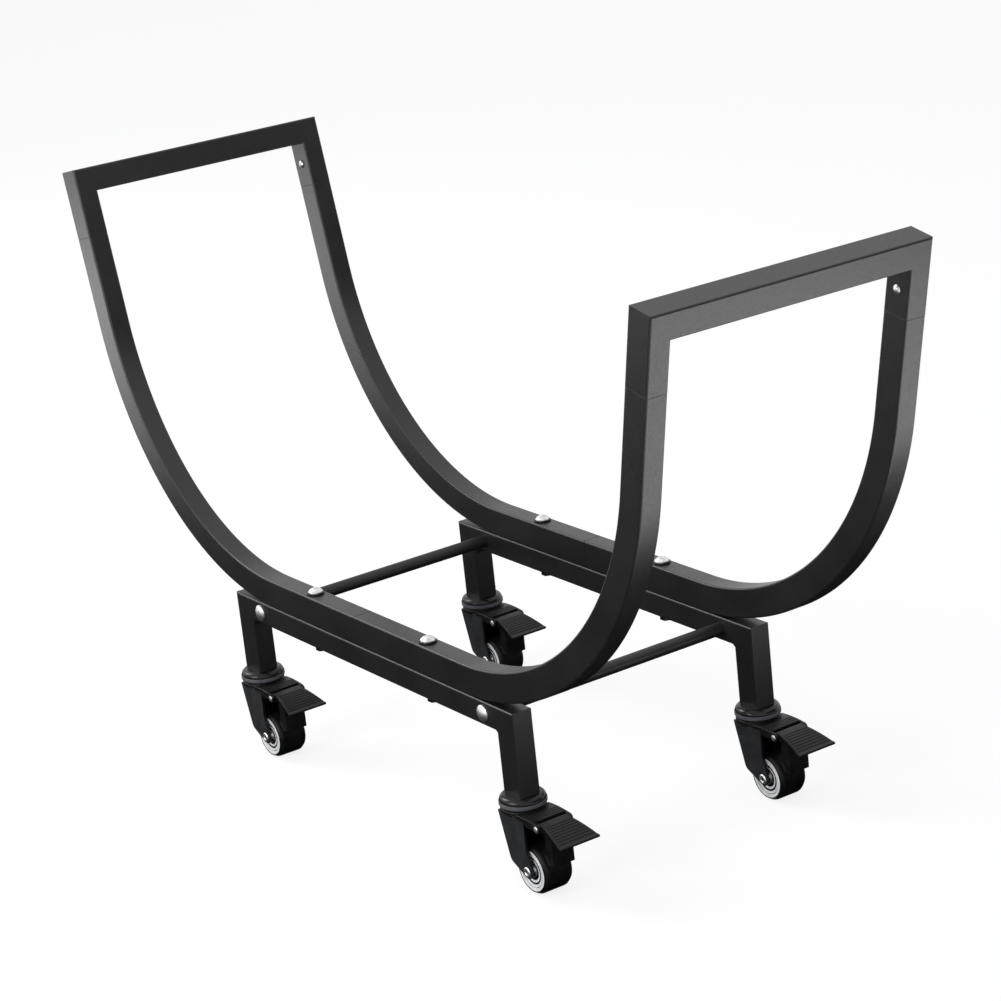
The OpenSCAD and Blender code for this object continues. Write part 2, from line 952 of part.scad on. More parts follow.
at_caster(1, 1) pedal();  // pedal_rear_right
at_caster(1, 1) brake_shoe();  // brake_shoe_rear_right
at_caster(1, 1) pedal_pin();  // pedal_pin_rear_right
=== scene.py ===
# %% [markdown]
# # A rolling firewood rack
# Two bent tube hoops stand on a low base with four casters. The solids are already
# modelled and packed, so this file loads them as a fixed frame and dresses them: it
# gives every solid its finish, and builds finer pieces where the real one has more
# detail than its solid. Everything is in metres, with Z up and the floor at Z = 0.

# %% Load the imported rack
import json
import math
import bpy
import bmesh
from mathutils import Matrix, Vector


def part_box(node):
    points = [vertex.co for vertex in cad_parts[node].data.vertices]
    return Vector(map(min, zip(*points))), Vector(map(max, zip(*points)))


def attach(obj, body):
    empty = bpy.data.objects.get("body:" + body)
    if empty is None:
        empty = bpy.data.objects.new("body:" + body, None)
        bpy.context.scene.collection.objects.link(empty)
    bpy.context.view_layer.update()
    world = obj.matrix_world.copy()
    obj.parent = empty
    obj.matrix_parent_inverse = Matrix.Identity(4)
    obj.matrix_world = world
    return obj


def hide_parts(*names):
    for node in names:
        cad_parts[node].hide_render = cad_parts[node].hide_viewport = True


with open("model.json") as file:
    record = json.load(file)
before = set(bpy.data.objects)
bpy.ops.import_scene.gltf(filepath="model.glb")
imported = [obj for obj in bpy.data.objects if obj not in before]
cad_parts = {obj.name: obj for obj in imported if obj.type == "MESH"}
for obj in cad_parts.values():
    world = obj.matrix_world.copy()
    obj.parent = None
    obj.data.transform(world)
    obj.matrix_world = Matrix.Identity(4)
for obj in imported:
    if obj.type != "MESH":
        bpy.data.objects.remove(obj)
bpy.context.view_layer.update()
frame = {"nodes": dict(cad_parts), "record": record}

MM = 0.001

# %% [markdown]
# ## The camera
# The rack is seen from its front right corner, a little from above, with a long lens
# that keeps its edges nearly parallel. A camera could also be dragged into place by
# eye. Here it stands at angles and a distance round an aim point, so each number says
# something that a photographer would set.

# %% Camera at the photograph's angle
AZIMUTH, ELEVATION, ROLL = (math.radians(a) for a in (57.1, 17.9, -6.2))
AIM = Vector((0, 0, 0.380))
DISTANCE, ASIDE, BELOW = 3.150, 0.022, -0.072
LENS_PER_WIDTH = 2.985
SENSOR = 36              # width in mm, as on a full-frame camera

right = Vector((math.cos(AZIMUTH), math.sin(AZIMUTH), 0))
back = Vector((math.sin(AZIMUTH) * math.cos(ELEVATION),
               -math.cos(AZIMUTH) * math.cos(ELEVATION), math.sin(ELEVATION)))
up = back.cross(right)
camera_data = bpy.data.cameras.new("photo_camera")
camera_data.sensor_width = SENSOR
camera_data.lens = SENSOR * LENS_PER_WIDTH
camera = bpy.data.objects.new("photo_camera", camera_data)
bpy.context.scene.collection.objects.link(camera)
turn = Matrix((right, up, back)).transposed().to_4x4() @ Matrix.Rotation(ROLL, 4, "Z")
camera.matrix_world = Matrix.Translation(
    AIM + right * ASIDE + up * BELOW + back * DISTANCE) @ turn
bpy.context.scene.camera = camera
bpy.context.scene.view_settings.view_transform = "Standard"
print("the camera stands at", [round(v, 2) for v in camera.location])

# %% [markdown]
# ## Making materials
# Every finish here is made of shader nodes. One function turns a hex colour, as read
# from a screen, into the linear values that Blender works in. Another adds a node,
# sets its values and links it, so a material reads as a short list.


# %% Colour and node helpers
def linear(hex_colour):
    """A hex screen colour as linear red, green, blue and alpha."""
    shares = [int(hex_colour[i:i + 2], 16) / 255 for i in (1, 3, 5)]
    return [c / 12.92 if c <= 0.04045 else ((c + 0.055) / 1.055) ** 2.4
            for c in shares] + [1.0]


def add(tree, kind, links=(), settings=(), **values):
    """Adds a node. links joins its inputs to outputs, settings are its own options."""
    node = tree.nodes.new("ShaderNode" + kind)
    for name, value in dict(settings).items():
        setattr(node, name, value)
    for name, value in values.items():
        node.inputs[name.replace("_", " ")].default_value = value
    for name, source in dict(links).items():
        tree.links.new(source, node.inputs[name])
    return node


def new_material(name):
    """An empty node material with its output, and the object's own coordinates."""
    material = bpy.data.materials.new(name)
    material.use_nodes = True
    tree = material.node_tree
    tree.nodes.clear()
    output = add(tree, "OutputMaterial")
    place = add(tree, "TexCoord").outputs["Object"]
    return material, tree, output, place


def finish_with(tree, output, shader):
    tree.links.new(shader.outputs["BSDF"], output.inputs["Surface"])


print("a middle grey on screen is", round(linear("#808080")[0], 3), "in linear light")

# %% [markdown]
# ### Powder-coated steel
# The tubes are steel, sprayed with black powder and baked. The melted powder leaves a
# satin skin with an orange-peel grain about two millimetres across, and fine specks
# where single grains stand up. Both could be modelled, but they are far too shallow to
# change an outline, so they are bumps. They break up the coat's broad sheen a little,
# and the eye reads it as paint and not as bare metal or plastic.


# %% Black powder coat
def powder_coat(name, dark, light, roughness):
    material, tree, output, place = new_material(name)
    peel = add(tree, "TexNoise", {"Vector": place}, Scale=1 / (2.2 * MM), Detail=2)
    # Real specks are 0.1 mm wide and would not show, so these are drawn at 0.7 mm
    specks = add(tree, "TexNoise", {"Vector": place}, Scale=1 / (0.7 * MM), Detail=1)
    # The coat's thickness changes slowly along a tube, over about 60 mm
    patches = add(tree, "TexNoise", {"Vector": place}, Scale=1 / (60 * MM), Detail=3)
    share = add(tree, "MapRange", {"Value": patches.outputs["Fac"]},
                From_Min=0.3, From_Max=0.7)
    colour = add(tree, "MixRGB", {"Fac": share.outputs["Result"]},
                 Color1=linear(dark), Color2=linear(light))
    gloss = add(tree, "MapRange", {"Value": peel.outputs["Fac"]}, From_Min=0.3,
                From_Max=0.7, To_Min=roughness - 0.05, To_Max=roughness + 0.05)
    grain = add(tree, "Bump", {"Height": specks.outputs["Fac"]},
                Strength=0.25, Distance=0.06 * MM)
    skin = add(tree, "Bump", {"Height": peel.outputs["Fac"],
                              "Normal": grain.outputs["Normal"]},
               Strength=0.35, Distance=0.12 * MM)
    shader = add(tree, "BsdfPrincipled",
                 {"Base Color": colour.outputs["Color"],
                  "Roughness": gloss.outputs["Result"],
                  "Normal": skin.outputs["Normal"]}, IOR=1.5)
    finish_with(tree, output, shader)
    return material


# The tubes' coat has a satin sheen, and the thin rods took a drier, duller coat
COAT = powder_coat("satin_powder_coat", "#171718", "#1f1f20", 0.36)
ROD_COAT = powder_coat("dull_powder_coat", "#131314", "#19191a", 0.48)
print("coats:", COAT.name, "and", ROD_COAT.name)

# %% [markdown]
# ### Zinc-plated steel
# Bolts and screws are plated in a barrel, where they tumble against each other. That
# leaves bright zinc with cloudy patches and fine scuffs. One grey with one roughness
# would look like chromed plastic, so both the colour and the gloss change from spot to
# spot. The swivels' races are oiled and darker. The nuts under the rails are zinc too,
# but they get the same dark steel as painted shade, for the shade of the rails above.


# %% Bright zinc
def zinc_plate(name, dark, light, roughness):
    material, tree, output, place = new_material(name)
    cloud = add(tree, "TexNoise", {"Vector": place}, Scale=1 / (3 * MM), Detail=3)
    # Real scuffs are 0.1 mm wide, and these are drawn at 0.5 mm so that they show
    scuffs = add(tree, "TexNoise", {"Vector": place}, Scale=1 / (0.5 * MM),
                 Detail=1, Distortion=2)
    share = add(tree, "MapRange", {"Value": cloud.outputs["Fac"]},
                From_Min=0.35, From_Max=0.65)
    colour = add(tree, "MixRGB", {"Fac": share.outputs["Result"]},
                 Color1=linear(dark), Color2=linear(light))
    gloss = add(tree, "MapRange", {"Value": scuffs.outputs["Fac"]}, From_Min=0.3,
                From_Max=0.7, To_Min=roughness - 0.07, To_Max=roughness + 0.07)
    bump = add(tree, "Bump", {"Height": scuffs.outputs["Fac"]},
               Strength=0.15, Distance=0.05 * MM)
    shader = add(tree, "BsdfPrincipled",
                 {"Base Color": colour.outputs["Color"],
                  "Roughness": gloss.outputs["Result"],
                  "Normal": bump.outputs["Normal"]}, Metallic=1.0)
    finish_with(tree, output, shader)
    return material


# Barrel-plated zinc is bright with a soft gloss, and oiled steel is dark and slicker.
# On the hoop nuts the same dark steel is painted shade.
ZINC = zinc_plate("barrel_plated_zinc", "#c4c5c7", "#eaebec", 0.44)
OILED_STEEL_AND_PAINTED_SHADE = zinc_plate("oiled_steel_and_painted_shade", "#3c3d40", "#55575a", 0.34)
print("metals:", ZINC.name, "and", OILED_STEEL_AND_PAINTED_SHADE.name)

# %% [markdown]
# ### Moulded nylon, rubber and ABS
# Forks, collars and pedals are moulded from black glass-filled nylon, in a mould whose
# walls are spark-eroded to a fine grain. The collar's dome is polished and its rim is
# grained coarsely, which is why the rim looks paler. The tyre is a hard rubber with a
# smooth, slightly dusty tread, the brake's shoe a duller one, and the hub pale ABS. All
# are one recipe with other numbers, because a mould leaves the same kind of skin.


# %% Moulded finishes
def moulded(name, dark, light, roughness, grain_mm, depth_mm=0.08, shine=0.5):
    """A moulded skin with grain of a given width and depth, in mm."""
    material, tree, output, place = new_material(name)
    grain = add(tree, "TexNoise", {"Vector": place}, Scale=1 / (grain_mm * MM),
                Detail=3)
    # The melt leaves faint flow marks in the mould, about 14 mm apart
    patches = add(tree, "TexNoise", {"Vector": place}, Scale=1 / (14 * MM), Detail=2)
    share = add(tree, "MapRange", {"Value": patches.outputs["Fac"]},
                From_Min=0.35, From_Max=0.7)
    colour = add(tree, "MixRGB", {"Fac": share.outputs["Result"]},
                 Color1=linear(dark), Color2=linear(light))
    gloss = add(tree, "MapRange", {"Value": patches.outputs["Fac"]}, From_Min=0.3,
                From_Max=0.7, To_Min=roughness - 0.06, To_Max=roughness + 0.06)
    bump = add(tree, "Bump", {"Height": grain.outputs["Fac"]},
               Strength=0.3, Distance=depth_mm * MM)
    shader = add(tree, "BsdfPrincipled",
                 {"Base Color": colour.outputs["Color"],
                  "Roughness": gloss.outputs["Result"],
                  "Normal": bump.outputs["Normal"]},
                 IOR=1.53, Specular_IOR_Level=shine)
    finish_with(tree, output, shader)
    return material


# Spark grain of 0.1 mm would not show, so it is drawn 0.5 to 1.6 mm wide.
# Hoods and pedals: satin and nearly black
NYLON = moulded("black_nylon", "#101011", "#171718", 0.38, 0.8, shine=0.22)
# Sides of the forks: a duller grain that looks dark grey
FORK_NYLON = moulded("grained_fork_nylon", "#222325", "#2a2b2d", 0.50, 0.7, shine=0.3)
# Domes of the collars: polished, with one long highlight
DOME_NYLON = moulded("polished_nylon", "#0d0d0e", "#141415", 0.24, 1.6, 0.12, 0.3)
# Bands round the collars: a coarse grain that scatters light and looks paler
RIM_NYLON = moulded("coarse_grained_nylon", "#4a4c50", "#5c5e62", 0.55, 0.9, 0.25)
# Treads: black with a slight dusty sheen
TREAD = moulded("hard_tyre_rubber", "#0e0e0f", "#141415", 0.45, 0.5, shine=0.2)
# Brake shoes: dull black, with hardly any highlight
SHOE = moulded("soft_brake_rubber", "#101011", "#171718", 0.75, 0.6, shine=0.2)
# Hubs: pale and polished, with clear highlights on their rings
HUB = moulded("pale_hub_abs", "#d6d8da", "#eeefef", 0.24, 1.2, 0.05)
print("materials:", ", ".join(m.name for m in bpy.data.materials))

# %% [markdown]
# ### A finish for every solid
# Each solid's record names its material, so most solids get their finish by that name.
# A few kinds have one of their own, and they are found by how their name starts.

# %% Finish of each solid
SLOT_FINISH = {"powder_coated_steel": COAT, "zinc_plated_steel": ZINC,
               "black_plastic": NYLON, "black_tread": TREAD, "pale_hub_plastic": HUB}
# The hoop nuts get the dark oiled steel as painted shade, for the rails' shade on them
OWN_FINISH = {"cross_rod": ROD_COAT, "brake_shoe": SHOE, "hoop_nuts": OILED_STEEL_AND_PAINTED_SHADE,
              "swivel_washers": OILED_STEEL_AND_PAINTED_SHADE}
NODE_SLOT = {s["node"]: s["material_slot"] for s in frame["record"]["subparts"]}
for node, solid in frame["nodes"].items():
    finish = SLOT_FINISH[NODE_SLOT[node]]
    for start, own in OWN_FINISH.items():
        if node.startswith(start):
            finish = own
    solid.data.materials.clear()
    solid.data.materials.append(finish)
print("solids with a finish:", len(frame["nodes"]))

# %% [markdown]
# ## Making pieces
# A finished piece is one mesh with its place in its vertices, so its object stays at
# the origin. Edges sharper than a set angle stay crisp and the rest shade smoothly.
# Smooth shading alone would bend the look of a big flat face next to a small rounded
# one, so weighted normals let the larger face win.

# %% From a bmesh to a piece
MERGE = 0.002 * MM       # points closer than this become one


def as_object(name, bm):
    """A new object at the origin that holds a bmesh's shape."""
    mesh = bpy.data.meshes.new(name)
    bm.to_mesh(mesh)
    bm.free()
    thing = bpy.data.objects.new(name, mesh)
    bpy.context.scene.collection.objects.link(thing)
    return thing


def piece(name, bm, finishes, body, replaces, sharp=32):
    """A finished piece that rides on a body and stands for the solids it replaces."""
    bmesh.ops.remove_doubles(bm, verts=bm.verts, dist=MERGE)
    bmesh.ops.recalc_face_normals(bm, faces=bm.faces)
    thing = as_object(name, bm)
    thing.data.shade_smooth()
    thing.data.set_sharp_from_angle(angle=math.radians(sharp))
    for finish in finishes:
        thing.data.materials.append(finish)
    weights = thing.modifiers.new("flat_faces", "WEIGHTED_NORMAL")
    weights.keep_sharp = True
    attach(thing, body)
    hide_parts(*replaces)
    print(name, "has", len(thing.data.polygons), "faces")


print("points within", MERGE / MM, "mm of each other are merged")

# %% [markdown]
# ### Turning and pushing
# Nearly every piece here is either turned round an axis or cut from plate. So two
# helpers make them: one spins a line of points about Z, and one pushes a flat outline
# into a plate and rounds its rims. Booleans could carve the same shapes out of blocks,
# but they leave long thin faces that shade badly.


# %% Shapes from outlines in millimetres
def arc(cx, cz, radius, start, end, steps=5):
    """Points round a centre, from one angle to another in degrees."""
    angles = [math.radians(start + (end - start) * i / steps) for i in range(steps + 1)]
    return [(cx + radius * math.cos(a), cz + radius * math.sin(a)) for a in angles]


def turned(profile, steps=96):
    """A shape turned about Z, from (radius, height) points, first to last."""
    bm = bmesh.new()
    verts = [bm.verts.new((r * MM, 0, z * MM)) for r, z in profile]
    edges = [bm.edges.new(pair) for pair in zip(verts, verts[1:])]
    bmesh.ops.spin(bm, geom=verts + edges, cent=(0, 0, 0), axis=(0, 0, 1),
                   angle=math.tau, steps=steps, use_merge=True, use_duplicate=False)
    bmesh.ops.remove_doubles(bm, verts=bm.verts, dist=MERGE)
    return bm


def pushed(bm, face, vec):
    """Pushes a face along and returns the new end face."""
    grown = bmesh.ops.extrude_face_region(bm, geom=[face])["geom"]
    moved = [g for g in grown if isinstance(g, bmesh.types.BMVert)]
    bmesh.ops.translate(bm, verts=moved, vec=vec)
    return next(g for g in grown if isinstance(g, bmesh.types.BMFace))


def plate(outline, y0, y1, edge=0.6, segments=3):
    """A plate from an outline in the XZ plane, between two places along Y."""
    bm = bmesh.new()
    face = bm.faces.new([bm.verts.new((x * MM, y0 * MM, z * MM)) for x, z in outline])
    pushed(bm, face, (0, (y1 - y0) * MM, 0))
    bmesh.ops.recalc_face_normals(bm, faces=bm.faces)
    rims = [e for e in bm.edges if abs(e.verts[0].co.y - e.verts[1].co.y) < MERGE]
    bmesh.ops.bevel(bm, geom=rims, offset=edge * MM, segments=segments, profile=0.5,
                    affect="EDGES", material=-1, clamp_overlap=True)
    return bm


def joined(*parts):
    """Several bmeshes as one."""
    whole = bmesh.new()
    for part in parts:
        mesh = bpy.data.meshes.new("part")
        part.to_mesh(mesh)
        part.free()
        whole.from_mesh(mesh)
        bpy.data.meshes.remove(mesh)
    return whole


def placed(bm, matrix):
    """Moves, turns or mirrors a shape. piece() turns the normals of a mirrored one."""
    bmesh.ops.transform(bm, matrix=matrix, verts=bm.verts)
    return bm


sample = turned([(0, 0), (1, 0), (1, 1), (0, 1)], 8)
print("a test cylinder with 8 sides has", len(sample.faces), "faces")
sample.free()

# %% [markdown]
# ## The hoops
# Each hoop is two bent arms of 32 by 24 mm tube that meet in the middle of the flat
# bottom. Their sizes are read from the solids where they can be, so that the dressed
# arm covers its solid. Only the tube's width, its round and the bend are typed.

# %% Sizes of the hoops
arm_low, arm_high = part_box("arm_front_right")
RAIL_TOP = arm_low.z
TUBE_X, TUBE_Y = 32 * MM, arm_high.y - arm_low.y
TUBE_ROUND = 2.2 * MM
LEAN = math.radians(12.5)
BEND_R, FLAT_HALF = 340 * MM, 185 * MM
SEAM_CHAMFER = 0.7 * MM
bend_centre = Vector((FLAT_HALF, 0, RAIL_TOP + BEND_R))
lean_way = Vector((math.sin(LEAN), 0, math.cos(LEAN)))
outward = Vector((math.cos(LEAN), 0, -math.sin(LEAN)))
lean_start = bend_centre + outward * BEND_R
# The lowest corner of a post is on its outer face, at the seam
ARM_STRAIGHT = (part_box("post_front_right")[0].z - lean_start.z) / math.cos(LEAN)
print("an arm goes on straight for", round(ARM_STRAIGHT / MM, 1), "mm above its bend")

# %% [markdown]
# ### Sweeping an arm
# The real arm is a straight tube that was bent round a roller. A curve with a bevel
# could make it, and so could many short segments, but those would show as bands in the
# satin gloss. Here a rounded section is pushed along the bottom, spun round the bend in
# fine steps and pushed up the lean. Each cut end gets a small chamfer, because two such
# ends against each other leave the thin dark seam that is seen on the real hoop.


# %% A swept arm
def tube_section(x, z_mid, depth, height):
    """A rounded tube section as one face, across X, with its middle at Y = 0."""
    bm = bmesh.new()
    bmesh.ops.create_grid(bm, x_segments=1, y_segments=1, size=0.5)
    bmesh.ops.scale(bm, vec=(height, depth, 1), verts=bm.verts)
    bmesh.ops.bevel(bm, geom=bm.verts[:], offset=TUBE_ROUND, segments=5, profile=0.5,
                    affect="VERTICES", material=-1)
    bmesh.ops.rotate(bm, verts=bm.verts, cent=(0, 0, 0),
                     matrix=Matrix.Rotation(math.radians(-90), 3, "Y"))
    bmesh.ops.translate(bm, verts=bm.verts, vec=(x, 0, z_mid))
    return bm


def arm(seam_x):
    """A right-hand arm on the centre line, from its seam at seam_x to its top end."""
    bm = tube_section(seam_x, RAIL_TOP + TUBE_X / 2, TUBE_Y, TUBE_X)
    end = pushed(bm, bm.faces[:][0], (FLAT_HALF - seam_x, 0, 0))
    spun = bmesh.ops.spin(bm, geom=[end], cent=bend_centre, axis=(0, -1, 0),
                          angle=math.pi / 2 - LEAN, steps=72, use_duplicate=False)
    last = next(g for g in spun["geom_last"] if isinstance(g, bmesh.types.BMFace))
    pushed(bm, last, lean_way * ARM_STRAIGHT)
    bmesh.ops.remove_doubles(bm, verts=bm.verts, dist=MERGE)
    bmesh.ops.recalc_face_normals(bm, faces=bm.faces)
    # Only the two cut ends have more than four corners
    rims = {e for f in bm.faces if len(f.verts) > 4 for e in f.edges}
    bmesh.ops.bevel(bm, geom=list(rims), offset=SEAM_CHAMFER, segments=2, profile=0.5,
                    affect="EDGES", material=-1, clamp_overlap=True)
    return bm


# %% [markdown]
# ### Four arms
# The arms are equal but for the seam, which lies a little off the middle, so each is
# swept to its own seam. A left arm could have a sweep of its own. It is simpler to
# mirror a right one with a scale of -1 along X, and to let piece() turn its faces out
# again.

# %% The four arms
SIDES = {"left": -1, "right": 1}
ROWS = {"front": -1, "rear": 1}
CORNERS = [(f"{row}_{side}", sx, sy) for row, sy in ROWS.items()
           for side, sx in SIDES.items()]
for name, sx, sy in CORNERS:
    low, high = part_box(f"arm_{name}")
    seam = (low.x if sx > 0 else high.x) * sx
    flip = Matrix.Diagonal((sx, 1, 1, 1))
    swept = placed(arm(seam), Matrix.Translation((0, (low.y + high.y) / 2, 0)) @ flip)
    piece(f"hoop_arm_{name}", swept, [COAT], "rack",
          [f"arm_{name}"], sharp=40)

# %% [markdown]
# ## Bolts and screws
# The hoops are bolted down through the rails, the cross rods are bolted from outside,
# and a screw locks each post. All have low domed heads. A head could be a squashed
# sphere on a cylinder, but that leaves a crease between them. Here head and shank are
# one outline and are turned in one spin: the dome is an arc, the head's rim has a small
# round, and the shank ends in a chamfer.

# %% Domed fasteners
HEAD_ROUND, TIP_CHAMFER = 0.3, 0.7       # mm


def domed(head_d, head_h, shank_d, length):
    """A domed bolt on Z = 0, head up, all in mm."""
    rise, half, shank = head_h * 0.75, head_d / 2, shank_d / 2
    dome_r = (half * half + rise * rise) / (2 * rise)
    reach = math.degrees(math.asin((half - HEAD_ROUND) / dome_r))
    dome = arc(0, head_h - dome_r, dome_r, 90, 90 - reach, 10)
    foot = [(half, head_h - rise), (half, HEAD_ROUND), (half - HEAD_ROUND, 0)]
    tip = [(shank, 0), (shank, TIP_CHAMFER - length), (shank - TIP_CHAMFER, -length),
           (0, -length)]
    return turned(dome + foot + tip, 40)


def four_of(name, node, place, **sizes):
    """Four domed fasteners as one piece, each where place(sx, sy) puts its corner's."""
    four = [placed(domed(**sizes), place(sx, sy)) for _, sx, sy in CORNERS]
    piece(name, joined(*four), [ZINC], "rack", [node])


# %% [markdown]
# ### Hoop bolts
# Four bolts hold the hoops down on the rails, each with a dark flange under its head.
# Typed heights would do, but here they are read from the solids of flange and bolt, so
# that each head sits on its flange.

# %% Hoop bolts, down through the rails
HOOP_BOLT_X = 110 * MM
FLANGE_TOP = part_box("hoop_washers")[1].z
BOLT_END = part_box("hoop_bolts")[0].z
hoop_y = abs(arm_low.y + arm_high.y) / 2


def on_hoop(sx, sy):
    return Matrix.Translation((sx * HOOP_BOLT_X, sy * hoop_y, FLANGE_TOP))


four_of("domed_hoop_bolts", "hoop_bolts", on_hoop, head_d=16, head_h=5.5, shank_d=8,
        length=(FLANGE_TOP - BOLT_END) / MM)

# %% [markdown]
# ### Rod bolts
# Each cross rod has a bolt in either end, through a rail. The same domed shape serves
# again, only wider and lower. A quarter turn about X lays it on its side, one way at
# the front and the other way at the rear.

# %% Rod bolts, in from the front and the rear
rod_low, rod_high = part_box("cross_rod_right")
rod_mid = (rod_low + rod_high) / 2
FACE_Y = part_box("rear_rail")[1].y


def on_rail_face(sx, sy):
    return (Matrix.Translation((sx * rod_mid.x, sy * FACE_Y, rod_mid.z))
            @ Matrix.Rotation(math.radians(-90 * sy), 4, "X"))


four_of("domed_rod_bolts", "rod_bolts", on_rail_face, head_d=18, head_h=4.5, shank_d=8,
        length=52)

# %% [markdown]
# ### Top screws
# A small screw in the inner face of each post, just above the seam, keeps the top frame
# from lifting off. The post leans, so its place is found by going up the lean from the
# end of the bend, instead of by trying heights until it looks right.

# %% Top screws, out from the inside of each post
SCREW_UP = 26 * MM
INNER_Y = FACE_Y - TUBE_Y
screw_place = (lean_start + lean_way * (ARM_STRAIGHT + SCREW_UP)
               - outward * TUBE_X / 2)


def in_post(sx, sy):
    return (Matrix.Translation((sx * screw_place.x, sy * INNER_Y, screw_place.z))
            @ Matrix.Rotation(math.radians(90 * sy), 4, "X"))


four_of("domed_top_screws", "top_screws", in_post, head_d=9, head_h=3, shank_d=5,
        length=12)

# %% [markdown]
# ## The casters
# A caster hangs under each leg, and all four trail the same way. Its place is read from
# the frame, and its pieces are made round its own swivel axis, in millimetres, then
# moved there. That keeps every outline below in the small numbers that a drawing of one
# caster would have.

# %% Where the casters stand
TRAIL, AXLE_Z = 27, 25
tyre_low, tyre_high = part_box("tyre_front_right")
wheel_mid = (tyre_low + tyre_high) / 2
swivel_x = wheel_mid.x - TRAIL * MM
CASTERS = {name: Vector((sx * swivel_x, sy * abs(wheel_mid.y), 0))
           for name, sx, sy in CORNERS}
for name, spot in CASTERS.items():
    print("caster", name, "stands at", [round(v / MM, 1) for v in spot])


def at_caster(bm, name):
    return placed(bm, Matrix.Translation(CASTERS[name]))


def about_pin(bm, x=TRAIL, z=AXLE_Z):
    """Lays a shape that was turned about Z along Y, at the axle or another pin."""
    return placed(bm, Matrix.Translation((x * MM, 0, z * MM))
                  @ Matrix.Rotation(math.radians(-90), 4, "X"))


# %% [markdown]
# ### One curve for hood and pedal
# Seen from the side, the hood and the pedal share a top curve: a long arc that is level
# near the collar and falls towards the tip. It could be drawn twice, but then the
# two would not quite meet. One small function gives its height for both, and for the
# low ribs that lie on it.

# %% The curve and the pins of a caster
DISC_LOW, DISC_TOP = 78.9, 83.9
BLADE_IN, BLADE_OUT = 17.8, 21.3         # the two faces of a blade, from the middle
CREST_X, CURVE_R = 30, 162
CURVE_CENTRE_Z = DISC_TOP - 0.2 - CURVE_R
PIVOT_X, PEDAL_X0, TIP_X = 50, 55.3, 94
HINGE_R = 4.5
RIB_PITCH = 4


def curve_z(x, drop=0):
    """Height of the top curve, or of one a given depth under it."""
    return CURVE_CENTRE_Z + math.sqrt((CURVE_R - drop) ** 2 - (x - CREST_X) ** 2)


def curve_points(x0, x1, drop=0, steps=12):
    spots = [x0 + (x1 - x0) * i / steps for i in range(steps + 1)]
    return [(x, curve_z(x, drop)) for x in spots]


def rib_outline(x):
    """Outline of a low half-round rib that lies across the top curve."""
    turns = [math.radians(180 - 22.5 * i) for i in range(9)]
    foot_z = curve_z(x) - 0.35
    return [(x + 0.9 * math.cos(a), foot_z + 0.95 * math.sin(a)) for a in turns]


PIVOT_Z = curve_z(PIVOT_X) - HINGE_R - 0.1
print("the pedal's hinge is", round(PIVOT_Z, 2), "mm above the floor")

# %% [markdown]
# ### Collars
# The collar is a bell that hugs the leg. It was moulded in one with a plug inside the
# tube. Its dome is polished, and a coarser grained band runs round its rim, with a fine
# groove between. Two pieces with a finish each would leave a gap to hide, so the whole
# outline is turned, and only the band's faces get the grained nylon.

# %% Domes with a grained rim
BAND_LOW, BAND_TOP = 86.1, 90.25


def collar():
    foot = [(5, 86), (23.4, 86), (24.2, 86.3), (24.5, 86.8)]
    rim = [(24.5, 88.6), (24.5, 90), (24.1, 90.3)]
    groove = [(23.4, 90.5), (23.4, 90.8)]
    dome = arc(18.1, 91, 5.6, 4, 90, 9)
    return turned(foot + rim + groove + dome + [(11, 96.6), (5, 96.6)])


collars = joined(*[at_caster(collar(), name) for name in CASTERS])
for face in collars.faces:
    if BAND_LOW < face.calc_center_median().z / MM < BAND_TOP:
        face.material_index = 1
piece("collar_domes", collars, [DOME_NYLON, RIM_NYLON], "rack",
      ["caster_collars"])

# %% [markdown]
# ### Forks
# A fork is a turning disc with two flat blades that narrow down to the axle, a wall
# that joins them behind, and a hood that runs out over the wheel to the pedal's hinge.
# It could be carved from one block, but all of these are flat walls on the real one, so
# they are plates, pushed out of a flat outline and then bevelled. The thin bright lines
# on the real caster are light caught by those rounded edges.


# %% Walls of a fork
def blade(side):
    """A narrowing blade, from the disc to a round end about the axle."""
    end = arc(TRAIL, AXLE_Z, 7.5, 238, 365, 12)
    outline = ([(-15, DISC_LOW), (-15.3, 80.2), (28, 80.2), (28, 49), (31, 39)]
               + end[::-1] + [(5, 27.2), (1.4, 29), (-1, 31.8), (-2.2, 35)])
    return plate(outline, side * BLADE_IN, side * BLADE_OUT, edge=0.9)


def back_wall():
    """The wall between the blades, along their slanting edge."""
    outline = [(-15, 79.5), (-2.8, 36.5), (-0.3, 37.5), (-12.3, 79.5)]
    return plate(outline, -BLADE_IN - 1, BLADE_IN + 1, edge=0.5)


def hood_wall(side):
    """A wall under the hood's edge, with the ear that holds the hinge pin."""
    ear = arc(PIVOT_X, PIVOT_Z, HINGE_R, 88, -160, 14)
    outline = (curve_points(14, PIVOT_X - 0.5, 0.1) + ear
               + [(38, 75.1), (24, 76.5), (14, 76.5)])
    return plate(outline, side * BLADE_IN, side * (BLADE_OUT - 0.15), edge=0.5)


def hood_top():
    """The hood's curved roof with its four ribs."""
    outline = curve_points(14, 44.6) + curve_points(14, 44.6, 3.6)[::-1]
    roof = plate(outline, -BLADE_OUT + 0.1, BLADE_OUT - 0.1, edge=0.8)
    ribs = [plate(rib_outline(31.3 + RIB_PITCH * i), 2 - BLADE_OUT, BLADE_OUT - 2,
                  edge=0.2, segments=1) for i in range(4)]
    return joined(roof, *ribs)


# %% [markdown]
# ### Turned parts of a fork
# The disc runs under the collar, and a crown below it holds the swivel's bearing. They
# are turned with a hole for the king pin. Disc, crown and walls overlap a little inside
# one piece, which nobody sees, and which saves the work of cutting them to meet.

# %% Round parts of a fork, and the four forks
GRAINED_BELOW = 77.5     # the blades' side faces end here, under the hood


